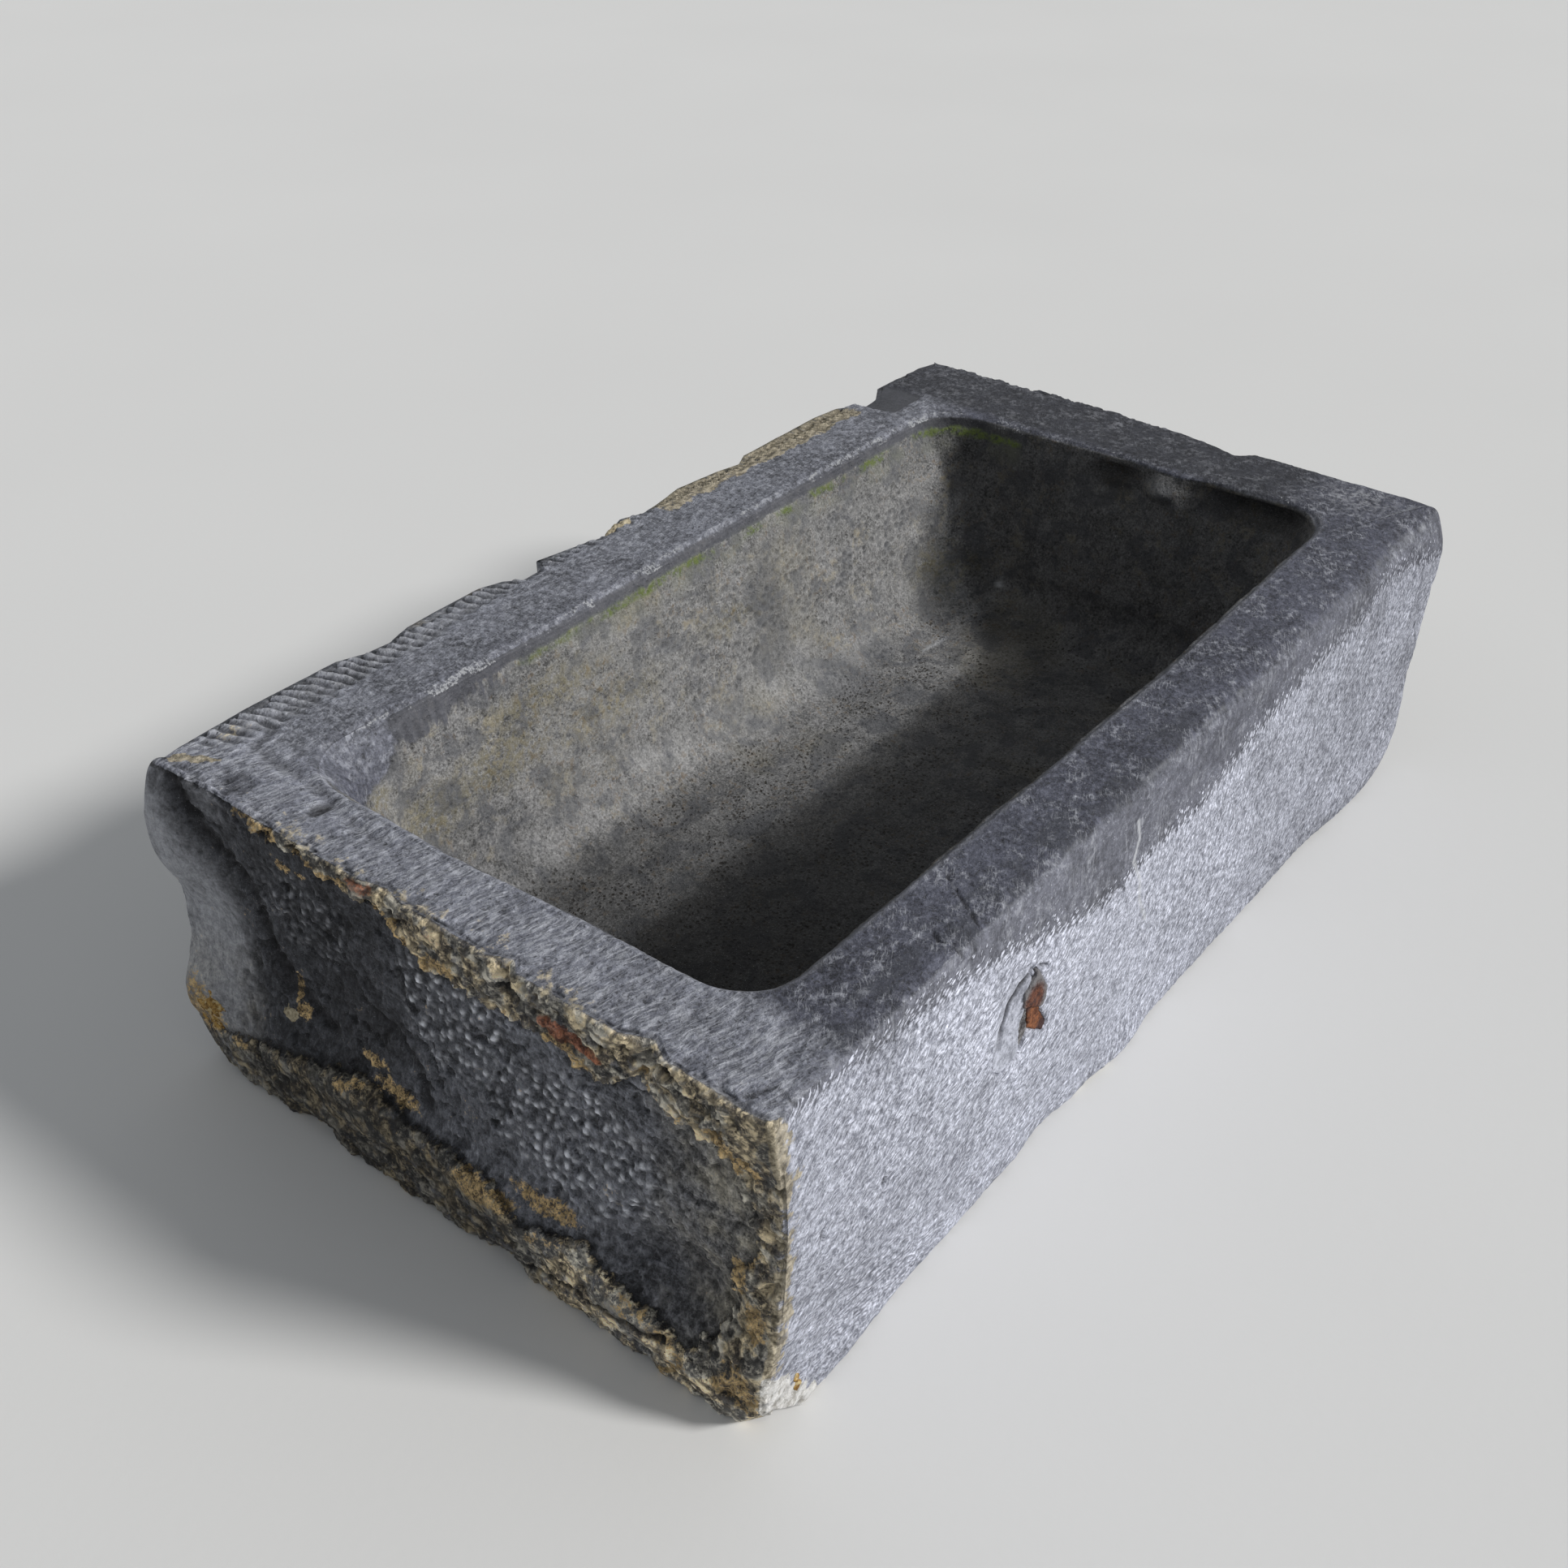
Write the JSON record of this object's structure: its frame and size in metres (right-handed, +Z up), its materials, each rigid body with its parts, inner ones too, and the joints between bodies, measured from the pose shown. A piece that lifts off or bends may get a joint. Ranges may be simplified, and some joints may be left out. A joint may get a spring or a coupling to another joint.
{
  "type": "stone trough planter",
  "caption": "Long rectangular trough hewn from one block of dark stone, with a deep open basin, worn edges and a rusted iron stub in its front face.",
  "frame": {"origin": "on the ground under the middle of the trough", "axes": "+X along the long side towards the far end, -Y out of the tooled front face that holds the iron, +Z up"},
  "size_m": [1.228, 0.7106, 0.347],
  "materials": {
    "hewn_stone": "hewn and tooled, weathered, matt",
    "rusted_iron_bar": "rusted",
    "rusted_iron_wedge": "rusted",
    "grey_mortar": "granular, matt",
    "smooth_filling": "smooth, matt",
    "ochre_mortar": "crumbly, matt"
  },
  "bodies": {
    "root": {"trough_block": "hewn_stone", "iron_bar_stub": "rusted_iron_bar", "iron_wedge": "rusted_iron_wedge", "mortar_bedding": "grey_mortar", "socket_fill": "smooth_filling", "mortar_lump_end_low": "ochre_mortar", "mortar_lump_end_face": "ochre_mortar", "mortar_crumb_back_rim": "ochre_mortar", "mortar_lump_front_corner": "ochre_mortar"}
  },
  "joints": []
}
